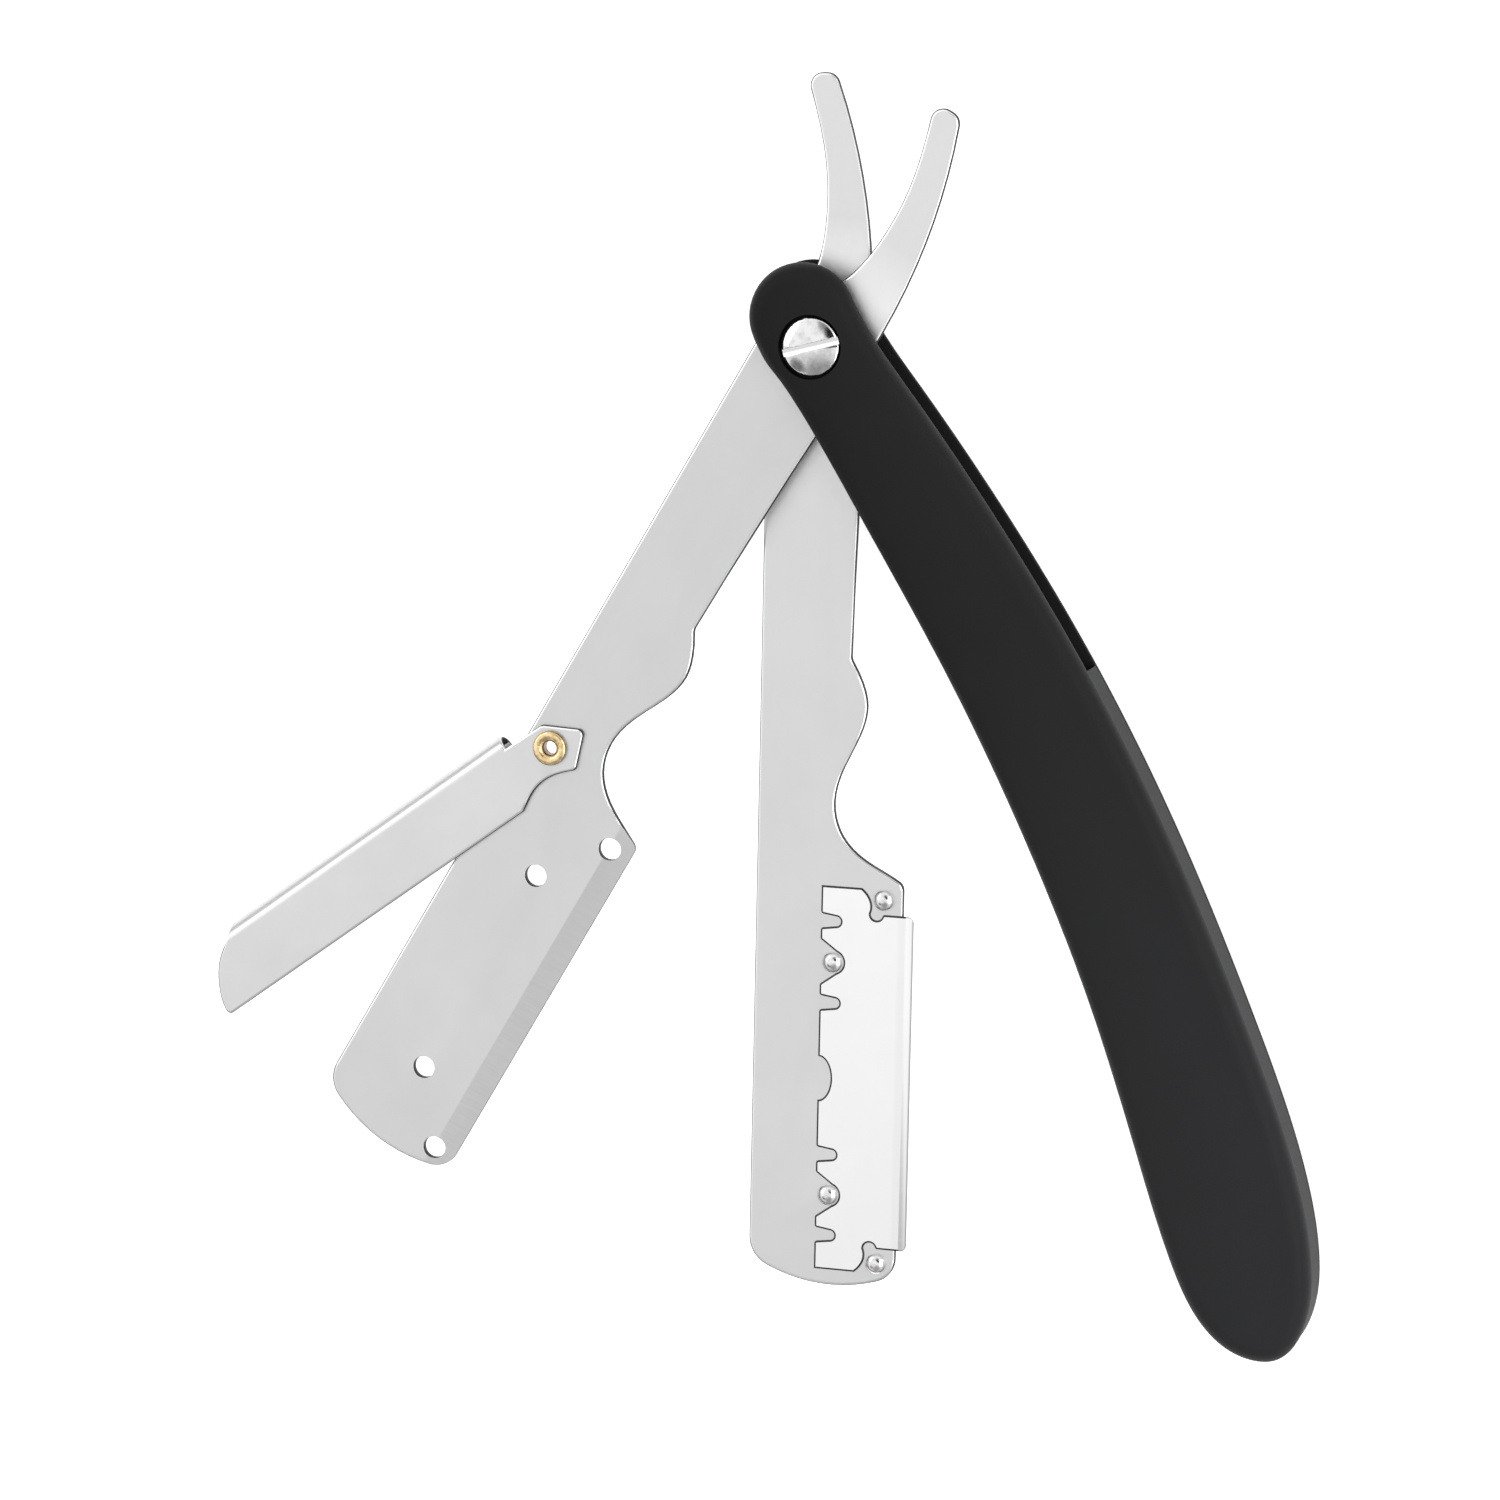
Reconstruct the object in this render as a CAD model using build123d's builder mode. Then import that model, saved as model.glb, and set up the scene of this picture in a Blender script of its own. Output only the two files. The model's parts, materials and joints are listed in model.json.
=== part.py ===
from build123d import *
import math
import os

# Folding barber razor that holds half a double-edge blade between two pivoting steel arms.
#
# Frame: millimetres, +Z up out of the handle's front face.  The origin is on the pivot axis, on the
# handle's rear face, which is the face the razor lies on.  The handle runs along -Y and its convex
# spine is on the +X side.  Each arm has its own plane: its x runs from the pivot to the toe, its y
# towards the cutting side.

os.makedirs("parts", exist_ok=True)

# ---- driving dimensions -------------------------------------------------------------------------
HANDLE_LENGTH = 118.9       # pivot axis to the far end
PIVOT_END_REACH = 9.1       # pivot axis to the handle's pivot end
SCALE_THICKNESS = 2.1       # each wall of the handle
SLOT_WIDTH = 4.4            # gap between the walls
EDGE_ROUND = 1.9            # rounding of the handle's outer edges
SEAM_BREAK = 0.12           # broken edges where the two mouldings meet
WEB_THICKNESS = 2.2         # spine web that joins the walls
WEB_START = 43.4            # squared step where the web begins, from the pivot axis
SLOT_END = 110.0            # closed end of the slot, from the pivot axis

BLADE_ARM_ANGLE = -115.6    # rest direction of the blade arm, degrees from +X
SPREAD_ANGLE = 29.6         # cover arm's angle from the blade arm at rest
LOCK_OPEN_ANGLE = 23.8      # lock's angle from the cover arm at rest
COVER_LIFT = 0.6            # how far the cover arm stands above its pressed place at rest

ARM_THICKNESS = 0.9
ARM_SPINE_AT_HUB = -5.95    # back edge of both arms, which widens a little towards the toe
ARM_SPINE_AT_TOE = -6.2
ARM_TOE = 103.6
ARM_TAIL = -28.7
BLADE_ARM_EDGE = 10.4       # cutting-side edge of the blade arm's plate
COVER_ARM_EDGE = 10.8       # cutting-side edge of the cover arm's plate
ARM_RIM_WIDTH = 0.36        # rolled rim of a stamped arm, on the flat
ARM_RIM_DEPTH = 0.2         # the same rim, down the side
BEVEL_WIDTH = 2.65          # ground band along the cover arm's cutting side
BEVEL_DEPTH = 0.45

PLATE_CENTRE = 80.33        # middle of the blade, along an arm
STUD_PATTERN = [(-20.33, 8.3), (-13.05, 2.7), (13.05, 2.7), (20.33, 8.3)]
STUD_NAMES = ["stud_heel_edge", "stud_heel_spine", "stud_toe_spine", "stud_toe_edge"]
STUD_DIAMETER = 2.2
STUD_SHANK_DIAMETER = 1.46
STUD_HOLE_DIAMETER = 1.5    # riveted hole in the blade arm
STUD_HEIGHT = 0.7
COVER_HOLE_DIAMETER = 2.5   # the studs enter these

BLADE_THICKNESS = 0.1
BLADE_LENGTH = 43.0
BLADE_EDGE_LENGTH = 37.4
BLADE_BACK = 1.3            # snapped edge, in the arm's y
BLADE_EDGE = 11.7           # cutting edge, in the arm's y
HONE_WIDTH = 0.9

SHANK_DIAMETER = 3.0        # pivot screw
RUNNING_HOLE_DIAMETER = 3.1
SCREW_HEAD_DIAMETER = 6.3
COUNTERBORE_DIAMETER = 6.9
COUNTERBORE_DEPTH = 1.2
SCREW_HEAD_RIM = 0.85
SCREW_DOME = 0.55
DRIVER_SLOT_WIDTH = 0.8
DRIVER_SLOT_DEPTH = 0.75
DRIVER_SLOT_ANGLE = -10.5
NUT_THICKNESS = 1.0
WASHER_DIAMETER = 7.5

LOCK_SHEET = 0.45
LOCK_LENGTH = 50.0          # eyelet axis to the lock's tip
LOCK_RIM_WIDTH = 0.3        # rolled rim of the front leaf, on the flat
LOCK_RIM_DEPTH = 0.18       # the same rim, down the side
LOCK_ROLL = -4.3            # outermost line of the rolled spine, in the lock's y
LOCK_EDGE = 4.03            # open edge of the front leaf
LOCK_BACK_EDGE = -1.5       # open edge of the back leaf
LOCK_ROLL_START = 4.5
EYELET_PLACE = (53.85, -3.0)
EYELET_FLANGE_DIAMETER = 3.9
EYELET_TUBE_DIAMETER = 2.3
EYELET_BORE_DIAMETER = 1.5
EYELET_FLANGE_HEIGHT = 0.45
EYELET_FLARE_DIAMETER = 3.1
EYELET_CLEARANCE = 0.03

# ---- heights ------------------------------------------------------------------------------------
SLOT_FLOOR = SCALE_THICKNESS
SLOT_ROOF = SLOT_FLOOR + SLOT_WIDTH
HANDLE_FRONT = SLOT_ROOF + SCALE_THICKNESS
BLADE_ARM_BOTTOM = SLOT_FLOOR + 0.7
BLADE_ARM_TOP = BLADE_ARM_BOTTOM + ARM_THICKNESS
BLADE_BOTTOM = BLADE_ARM_TOP + 0.02
COVER_PRESSED_BOTTOM = BLADE_BOTTOM + BLADE_THICKNESS + 0.03
COVER_BOTTOM = COVER_PRESSED_BOTTOM + COVER_LIFT
COVER_TOP = COVER_BOTTOM + ARM_THICKNESS
LOCK_GAP = 0.05
LOCK_FRONT_TOP = COVER_TOP + LOCK_GAP + LOCK_SHEET
LOCK_BACK_BOTTOM = BLADE_ARM_BOTTOM + COVER_LIFT - LOCK_GAP - LOCK_SHEET


def arm_plane(height, angle):
    """Plane with its x along an arm that points at this angle, and its y to the cutting side."""
    return Plane(
        origin=(0, 0, height),
        x_dir=(math.cos(math.radians(angle)), math.sin(math.radians(angle)), 0),
        z_dir=(0, 0, 1),
    )


def on_arm(point, height, angle):
    """A point of an arm's own plane, in the razor's frame."""
    return arm_plane(height, angle).from_local_coords(Vector(point[0], point[1], 0))


COVER_ARM_ANGLE = BLADE_ARM_ANGLE - SPREAD_ANGLE
LOCK_ANGLE = COVER_ARM_ANGLE - LOCK_OPEN_ANGLE
EYELET_CENTRE = on_arm(EYELET_PLACE, 0, COVER_ARM_ANGLE)


def lock_plane(height):
    """Plane on the eyelet's axis with its x along the lock."""
    plane = arm_plane(height, LOCK_ANGLE)
    return Plane(
        origin=(EYELET_CENTRE.X, EYELET_CENTRE.Y, height),
        x_dir=plane.x_dir,
        z_dir=(0, 0, 1),
    )


def handle_outline():
    """Closed outline of one handle wall."""
    convex_start = (5.9, 3.3)
    concave_end = (-5.7, 3.3)
    with BuildSketch() as outline:
        with BuildLine():
            Spline(
                convex_start,
                (7.55, -7.9),
                (10.55, -23.1),
                (13.3, -43.6),
                (14.3, -64.0),
                (13.8, -85.0),
                (12.1, -102.7),
                (9.9, -111.0),
                (6.6, -116.6),
                (2.6, -HANDLE_LENGTH),
                (-1.3, -117.0),
                (-3.8, -112.0),
                (-4.1, -105.0),
                (-2.75, -92.4),
                (-0.95, -76.0),
                (-0.3, -60.0),
                (-0.75, -40.7),
                (-2.75, -18.5),
                (-5.15, -1.0),
                concave_end,
                tangents=[(0, -1), (0, 1)],
            )
            ThreePointArc(concave_end, (0.1, PIVOT_END_REACH), convex_start)
        make_face()
    return outline.sketch


def slot_outline():
    """Plan of the slot: open on the concave side, and on both sides up to the web's step."""
    with BuildSketch() as outline:
        with BuildLine():
            beyond = Polyline((-20, -SLOT_END), (-20, 20), (25, 20), (25, -WEB_START + 2))
            step = Line(beyond @ 1, (13.3 - WEB_THICKNESS, -WEB_START))
            inner = Spline(
                step @ 1,
                (14.3 - WEB_THICKNESS, -66.0),
                (13.8 - WEB_THICKNESS, -85.0),
                (12.3 - WEB_THICKNESS, -100.5),
            )
            end = ThreePointArc(inner @ 1, (7.3, -107.2), (0.5, -SLOT_END))
            Line(end @ 1, beyond @ 0)
        make_face()
    return outline.sketch


def arm_outline(plate_edge):
    """Closed outline of an arm: tail, hub, shank with its thumb bump, choil, plate and toe."""
    bump_start = (33.9, 4.05)
    heel = (58.3, plate_edge)
    toe_corner = (101.95, plate_edge)
    spine_corner = (100.9, ARM_SPINE_AT_TOE)
    hub_end = (-5.56, -2.12)
    tail_corners = [(ARM_TAIL, 0.95), (ARM_TAIL, -2.35)]
    with BuildSketch() as outline:
        with BuildLine():
            Spline(
                tail_corners[0],
                (-20.6, 3.5),
                (-13.2, 4.87),
                (-4.0, 5.42),
                (8.6, 4.85),
                (21.0, 4.35),
                bump_start,
            )
            Spline(
                bump_start,
                (36.4, 5.35),
                (38.9, 5.93),
                (41.2, 5.55),
                (45.5, 3.61),
                (49.6, 2.5),
                (53.3, 3.45),
                (55.6, 5.7),
                (57.0, 8.2),
                heel,
            )
            plate = Line(heel, toe_corner)
            toe = ThreePointArc(plate @ 1, (ARM_TOE, 3.3), spine_corner)
            spine = Line(toe @ 1, (0, ARM_SPINE_AT_HUB))
            ThreePointArc(spine @ 1, (-4.2, -4.21), hub_end)
            Spline(
                hub_end,
                (-8.5, -0.65),
                (-13.2, 0.2),
                (-18.6, 0.12),
                (-24.4, -1.02),
                tail_corners[1],
            )
            Line(tail_corners[1], tail_corners[0])
        make_face()
        roundings = [(bump_start, 1.2), (heel, 1.1), (toe_corner, 2.8), (spine_corner, 3.4)]
        roundings += [(hub_end, 1.5), (tail_corners[0], 1.4), (tail_corners[1], 1.4)]
        for corner, radius in roundings:
            fillet(outline.vertices().sort_by_distance(corner)[0], radius)
    return outline.sketch


def roll_rims(plate):
    """Rolls a stamped plate's upper and lower rims over, wider on the flat than down the side."""
    flats = plate.faces().sort_by(Axis.Z)
    for flat in (flats[0], flats[-1]):
        chamfer(flat.edges(), ARM_RIM_WIDTH, ARM_RIM_DEPTH, reference=flat)


# ---- handle -------------------------------------------------------------------------------------
PEGS = [(12.25, -50.0), (12.8, -78.0), (2.6, -114.0)]
PEG_DIAMETER = 1.2
PEG_HOLE_DIAMETER = 1.3
PEG_LENGTH = 1.1

with BuildPart() as front_scale:
    with BuildSketch(Plane.XY.offset(SLOT_ROOF)):
        add(handle_outline())
    extrude(amount=SCALE_THICKNESS)
    fillet(front_scale.edges().group_by(Axis.Z)[-1], EDGE_ROUND)
    with BuildSketch(Plane.XY.offset(SLOT_FLOOR)):
        add(handle_outline())
        add(slot_outline(), mode=Mode.SUBTRACT)
    extrude(amount=SLOT_WIDTH)
    chamfer(front_scale.edges().group_by(Axis.Z)[0], SEAM_BREAK)
    with BuildSketch(Plane.XY.offset(SLOT_FLOOR)):
        with Locations(*PEGS):
            Circle(PEG_DIAMETER / 2)
    extrude(amount=-PEG_LENGTH)
    with BuildSketch(Plane.XY.offset(HANDLE_FRONT)):
        Circle(COUNTERBORE_DIAMETER / 2)
    extrude(amount=-COUNTERBORE_DEPTH, mode=Mode.SUBTRACT)
    with BuildSketch(Plane.XY.offset(HANDLE_FRONT)):
        Circle(RUNNING_HOLE_DIAMETER / 2)
    extrude(amount=-SCALE_THICKNESS, mode=Mode.SUBTRACT)
front_scale.part.label = "front_scale"

with BuildPart() as rear_scale:
    with BuildSketch():
        add(handle_outline())
    extrude(amount=SCALE_THICKNESS)
    fillet(rear_scale.edges().group_by(Axis.Z)[0], EDGE_ROUND)
    chamfer(rear_scale.edges().group_by(Axis.Z)[-1], SEAM_BREAK)
    with BuildSketch(Plane.XY.offset(SLOT_FLOOR)):
        with Locations(*PEGS):
            Circle(PEG_HOLE_DIAMETER / 2)
    extrude(amount=-PEG_LENGTH - 0.1, mode=Mode.SUBTRACT)
    with BuildSketch():
        Circle(COUNTERBORE_DIAMETER / 2)
    extrude(amount=COUNTERBORE_DEPTH, mode=Mode.SUBTRACT)
    with BuildSketch():
        Circle(RUNNING_HOLE_DIAMETER / 2)
    extrude(amount=SCALE_THICKNESS, mode=Mode.SUBTRACT)
rear_scale.part.label = "rear_scale"

# ---- pivot hardware -----------------------------------------------------------------------------
HEAD_SEAT = HANDLE_FRONT - COUNTERBORE_DEPTH
NUT_BOTTOM = COUNTERBORE_DEPTH - NUT_THICKNESS
HEAD_RADIUS = SCREW_HEAD_DIAMETER / 2

with BuildPart() as pivot_screw:
    with BuildSketch(Plane.XZ):
        with BuildLine():
            axis = Line((0, NUT_BOTTOM + 0.1), (0, HEAD_SEAT + SCREW_HEAD_RIM + SCREW_DOME))
            dome = ThreePointArc(
                axis @ 1,
                (HEAD_RADIUS * 0.6, HEAD_SEAT + SCREW_HEAD_RIM + SCREW_DOME * 0.66),
                (HEAD_RADIUS, HEAD_SEAT + SCREW_HEAD_RIM),
            )
            Polyline(
                dome @ 1,
                (HEAD_RADIUS, HEAD_SEAT),
                (SHANK_DIAMETER / 2, HEAD_SEAT),
                (SHANK_DIAMETER / 2, NUT_BOTTOM + 0.1),
                axis @ 0,
            )
        make_face()
    revolve(axis=Axis.Z)
    with BuildSketch(Plane.XY.offset(HEAD_SEAT + SCREW_HEAD_RIM + SCREW_DOME - DRIVER_SLOT_DEPTH)):
        Rectangle(SCREW_HEAD_DIAMETER + 1, DRIVER_SLOT_WIDTH, rotation=DRIVER_SLOT_ANGLE)
    extrude(amount=2 * DRIVER_SLOT_DEPTH, mode=Mode.SUBTRACT)
pivot_screw.part.label = "pivot_screw"

with BuildPart() as pivot_nut:
    with BuildSketch(Plane.XY.offset(NUT_BOTTOM)):
        Circle(HEAD_RADIUS)
        Circle(SHANK_DIAMETER / 2, mode=Mode.SUBTRACT)
    extrude(amount=NUT_THICKNESS)
    fillet(pivot_nut.edges().group_by(Axis.Z)[0].sort_by(SortBy.RADIUS)[-1], 0.3)
    with BuildSketch(Plane.XY.offset(NUT_BOTTOM)):
        Rectangle(SCREW_HEAD_DIAMETER + 1, DRIVER_SLOT_WIDTH)
    extrude(amount=0.5, mode=Mode.SUBTRACT)
pivot_nut.part.label = "pivot_nut"


def washer(bottom, top):
    """Flat washer on the pivot screw between two heights."""
    with BuildPart() as ring:
        with BuildSketch(Plane.XY.offset(bottom)):
            Circle(WASHER_DIAMETER / 2)
            Circle(RUNNING_HOLE_DIAMETER / 2, mode=Mode.SUBTRACT)
        extrude(amount=top - bottom)
    return ring.part


with BuildPart() as rear_washer:
    add(washer(SLOT_FLOOR, BLADE_ARM_BOTTOM - 0.05))
rear_washer.part.label = "rear_washer"

with BuildPart() as cover_washer:
    add(washer(COVER_TOP + 0.05, SLOT_ROOF - 0.1))
cover_washer.part.label = "cover_washer"

# ---- blade arm with its riveted studs -----------------------------------------------------------
STUD_PLACES = [(PLATE_CENTRE + along, across) for along, across in STUD_PATTERN]

with BuildPart() as blade_arm:
    with BuildSketch(arm_plane(BLADE_ARM_BOTTOM, BLADE_ARM_ANGLE)):
        add(arm_outline(BLADE_ARM_EDGE))
    extrude(amount=ARM_THICKNESS)
    roll_rims(blade_arm)
    with BuildSketch(arm_plane(BLADE_ARM_BOTTOM, BLADE_ARM_ANGLE)):
        Circle(RUNNING_HOLE_DIAMETER / 2)
        with Locations(*STUD_PLACES):
            Circle(STUD_HOLE_DIAMETER / 2)
    extrude(amount=ARM_THICKNESS, mode=Mode.SUBTRACT)
blade_arm.part.label = "blade_arm"

for stud_name, stud_place in zip(STUD_NAMES, STUD_PLACES):
    stud_foot = on_arm(stud_place, BLADE_ARM_BOTTOM, BLADE_ARM_ANGLE)
    with BuildPart() as stud:
        with BuildSketch(Plane(origin=stud_foot, x_dir=(1, 0, 0), z_dir=(0, -1, 0))):
            with BuildLine():
                core = Line((0, 0), (0, ARM_THICKNESS + STUD_HEIGHT))
                crown = ThreePointArc(
                    core @ 1,
                    (STUD_DIAMETER * 0.32, ARM_THICKNESS + STUD_HEIGHT * 0.82),
                    (STUD_DIAMETER / 2, ARM_THICKNESS + STUD_HEIGHT * 0.4),
                )
                Polyline(
                    crown @ 1,
                    (STUD_DIAMETER / 2, ARM_THICKNESS),
                    (STUD_SHANK_DIAMETER / 2, ARM_THICKNESS),
                    (STUD_SHANK_DIAMETER / 2, 0),
                    core @ 0,
                )
            make_face()
        revolve(axis=Axis(stud_foot, (0, 0, 1)))
    stud.part.label = stud_name
    export_step(stud.part, "parts/" + stud_name + ".step")

# ---- half of a double-edge blade ----------------------------------------------------------------
HALF_LENGTH = BLADE_LENGTH / 2
HALF_EDGE = BLADE_EDGE_LENGTH / 2
TONGUE_SLOTS = [-17.6, -8.5, 8.5, 17.6]
TONGUE_MOUTH = 0.8          # half widths and end centre of a tongue slot
TONGUE_END = 0.55
TONGUE_REACH = 1.7
STUD_NOTCH_MOUTH = 2.5      # half width of the notch's mouth
STUD_NOTCH_RADIUS = 1.25
CENTRE_NOTCH_WIDTH = 4.9
CENTRE_NOTCH_DEPTH = 1.45
NOTCH_CORNER = 0.3

with BuildSketch() as blade_plan:
    with BuildLine():
        back_edge = Polyline((0, BLADE_BACK), (HALF_LENGTH, BLADE_BACK), (HALF_LENGTH, 5.85))
        tab = Spline(
            back_edge @ 1,
            (HALF_LENGTH - 0.65, 6.5),
            (HALF_LENGTH - 1.5, 6.93),
            (HALF_EDGE + 0.05, 6.85),
        )
        notch = ThreePointArc(tab @ 1, (HALF_EDGE - 0.67, 7.55), (HALF_EDGE - 0.15, 8.2))
        Polyline(
            notch @ 1,
            (HALF_EDGE, 8.35),
            (HALF_EDGE, BLADE_EDGE - 0.6),
            (HALF_EDGE - 0.17, BLADE_EDGE - 0.17),
            (HALF_EDGE - 0.6, BLADE_EDGE),
            (0, BLADE_EDGE),
        )
        mirror(about=Plane.YZ)
    make_face()
    for middle in TONGUE_SLOTS:
        with BuildLine():
            Polyline(
                (middle - TONGUE_MOUTH, BLADE_BACK),
                (middle - TONGUE_END, BLADE_BACK + TONGUE_REACH),
                (middle + TONGUE_END, BLADE_BACK + TONGUE_REACH),
                (middle + TONGUE_MOUTH, BLADE_BACK),
                close=True,
            )
        make_face(mode=Mode.SUBTRACT)
        with Locations((middle, BLADE_BACK + TONGUE_REACH)):
            Circle(TONGUE_END, mode=Mode.SUBTRACT)
    for along, across in STUD_PATTERN[1:3]:
        with BuildLine():
            Polyline(
                (along - STUD_NOTCH_MOUTH, BLADE_BACK),
                (along - STUD_NOTCH_RADIUS * 0.75, across + STUD_NOTCH_RADIUS * 0.6),
                (along + STUD_NOTCH_RADIUS * 0.75, across + STUD_NOTCH_RADIUS * 0.6),
                (along + STUD_NOTCH_MOUTH, BLADE_BACK),
                close=True,
            )
        make_face(mode=Mode.SUBTRACT)
        with Locations((along, across)):
            Circle(STUD_NOTCH_RADIUS, mode=Mode.SUBTRACT)
    with Locations((0, BLADE_BACK)):
        Ellipse(CENTRE_NOTCH_WIDTH / 2, CENTRE_NOTCH_DEPTH, mode=Mode.SUBTRACT)
    notch_mouths = blade_plan.vertices().filter_by(
        lambda vertex: abs(vertex.Y - BLADE_BACK) < 0.001 and 3 < abs(vertex.X) < HALF_EDGE
    )
    fillet(notch_mouths, NOTCH_CORNER)

with BuildPart() as half_blade:
    with BuildSketch(arm_plane(BLADE_BOTTOM, BLADE_ARM_ANGLE)):
        with Locations((PLATE_CENTRE, 0)):
            add(blade_plan.sketch)
    extrude(amount=BLADE_THICKNESS)
    across = Axis((0, 0, 0), arm_plane(0, BLADE_ARM_ANGLE).y_dir)
    cutting_face = half_blade.faces().sort_by(across)[-1]
    chamfer(
        cutting_face.edges().filter_by(lambda edge: edge.length > HALF_LENGTH),
        BLADE_THICKNESS * 0.4,
        HONE_WIDTH,
        reference=cutting_face,
    )
half_blade.part.label = "half_blade"

# ---- cover arm ----------------------------------------------------------------------------------
FLARE_HEIGHT = 0.35
bevel_start = on_arm((55.0, 0), 0, COVER_ARM_ANGLE)
across_cover_arm = Plane(
    origin=bevel_start,
    x_dir=arm_plane(0, COVER_ARM_ANGLE).y_dir,
    z_dir=arm_plane(0, COVER_ARM_ANGLE).x_dir,
)
eyelet_hole = EYELET_TUBE_DIAMETER / 2 + EYELET_CLEARANCE
flare_hole = EYELET_FLARE_DIAMETER / 2 + EYELET_CLEARANCE
eyelet_section = Plane(origin=EYELET_CENTRE, x_dir=(1, 0, 0), z_dir=(0, -1, 0))

with BuildPart() as cover_arm:
    with BuildSketch(arm_plane(COVER_BOTTOM, COVER_ARM_ANGLE)):
        add(arm_outline(COVER_ARM_EDGE))
    extrude(amount=ARM_THICKNESS)
    roll_rims(cover_arm)
    with BuildSketch(across_cover_arm):
        with BuildLine():
            Polyline(
                (COVER_ARM_EDGE - BEVEL_WIDTH, COVER_TOP),
                (COVER_ARM_EDGE + BEVEL_WIDTH, COVER_TOP),
                (COVER_ARM_EDGE + BEVEL_WIDTH, COVER_TOP - 2 * BEVEL_DEPTH),
                close=True,
            )
        make_face()
    extrude(amount=ARM_TOE - 50, mode=Mode.SUBTRACT)
    with BuildSketch(arm_plane(COVER_BOTTOM, COVER_ARM_ANGLE)):
        Circle(RUNNING_HOLE_DIAMETER / 2)
        with Locations(*STUD_PLACES):
            Circle(COVER_HOLE_DIAMETER / 2)
    extrude(amount=ARM_THICKNESS, mode=Mode.SUBTRACT)
    with BuildSketch(eyelet_section):
        with BuildLine():
            Polyline(
                (0, COVER_BOTTOM),
                (flare_hole, COVER_BOTTOM),
                (eyelet_hole, COVER_BOTTOM + FLARE_HEIGHT),
                (eyelet_hole, COVER_TOP),
                (0, COVER_TOP),
                close=True,
            )
        make_face()
    revolve(axis=Axis(EYELET_CENTRE, (0, 0, 1)), mode=Mode.SUBTRACT)
cover_arm.part.label = "cover_arm"

with BuildPart() as lock_eyelet:
    flange_bottom = LOCK_FRONT_TOP + EYELET_CLEARANCE
    flange_top = flange_bottom + EYELET_FLANGE_HEIGHT
    with BuildSketch(eyelet_section):
        with BuildLine():
            outside = Polyline(
                (EYELET_BORE_DIAMETER / 2 + 0.25, COVER_BOTTOM + 0.02),
                (EYELET_FLARE_DIAMETER / 2, COVER_BOTTOM + 0.02),
                (EYELET_TUBE_DIAMETER / 2, COVER_BOTTOM + FLARE_HEIGHT),
                (EYELET_TUBE_DIAMETER / 2, flange_bottom),
                (EYELET_FLANGE_DIAMETER / 2 - 0.1, flange_bottom),
            )
            rolled = ThreePointArc(
                outside @ 1,
                (EYELET_FLANGE_DIAMETER / 2 - 0.1, flange_top - 0.1),
                (EYELET_FLANGE_DIAMETER / 2 - 0.6, flange_top),
            )
            mouth = ThreePointArc(
                rolled @ 1,
                (EYELET_BORE_DIAMETER / 2 + 0.2, flange_top - 0.08),
                (EYELET_BORE_DIAMETER / 2, flange_top - 0.45),
            )
            Polyline(
                mouth @ 1,
                (EYELET_BORE_DIAMETER / 2, COVER_BOTTOM + FLARE_HEIGHT),
                outside @ 0,
            )
        make_face()
    revolve(axis=Axis(EYELET_CENTRE, (0, 0, 1)))
lock_eyelet.part.label = "lock_eyelet"

# ---- lock: sheet folded into a channel with a rolled spine --------------------------------------
roll_radius = (LOCK_FRONT_TOP - LOCK_BACK_BOTTOM) / 2
roll_y = LOCK_ROLL + roll_radius
roll_z = (LOCK_FRONT_TOP + LOCK_BACK_BOTTOM) / 2
across_lock = Plane(
    origin=lock_plane(0).from_local_coords(Vector(LOCK_ROLL_START, 0, 0)),
    x_dir=lock_plane(0).y_dir,
    z_dir=lock_plane(0).x_dir,
)

with BuildSketch() as lock_plan:
    with BuildLine():
        roll_side = Polyline(
            (LOCK_ROLL_START, LOCK_ROLL - 0.1),
            (LOCK_LENGTH - 6.1, LOCK_ROLL - 0.1),
        )
        tip = Spline(
            roll_side @ 1,
            (LOCK_LENGTH - 5.2, -3.4),
            (LOCK_LENGTH - 2.8, -1.7),
            (LOCK_LENGTH - 1.3, 0.1),
            (LOCK_LENGTH - 0.3, 2.1),
            (LOCK_LENGTH, LOCK_EDGE),
        )
        open_edge = Line(tip @ 1, (6.9, LOCK_EDGE))
        waist = Spline(
            open_edge @ 1,
            (6.2, 3.65),
            (4.7, 2.9),
            (2.9, 2.55),
            (1.1, 2.8),
            (-0.9, 3.6),
        )
        Polyline(waist @ 1, (-4.4, 0.5), (-0.6, -2.6), (LOCK_ROLL_START, -2.75), roll_side @ 0)
    make_face()
    head_corners = lock_plan.vertices().sort_by(Axis.X)[:3]
    fillet(head_corners, 0.6)
    fillet(lock_plan.vertices().sort_by(Axis.X)[-1], 0.6)

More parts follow.
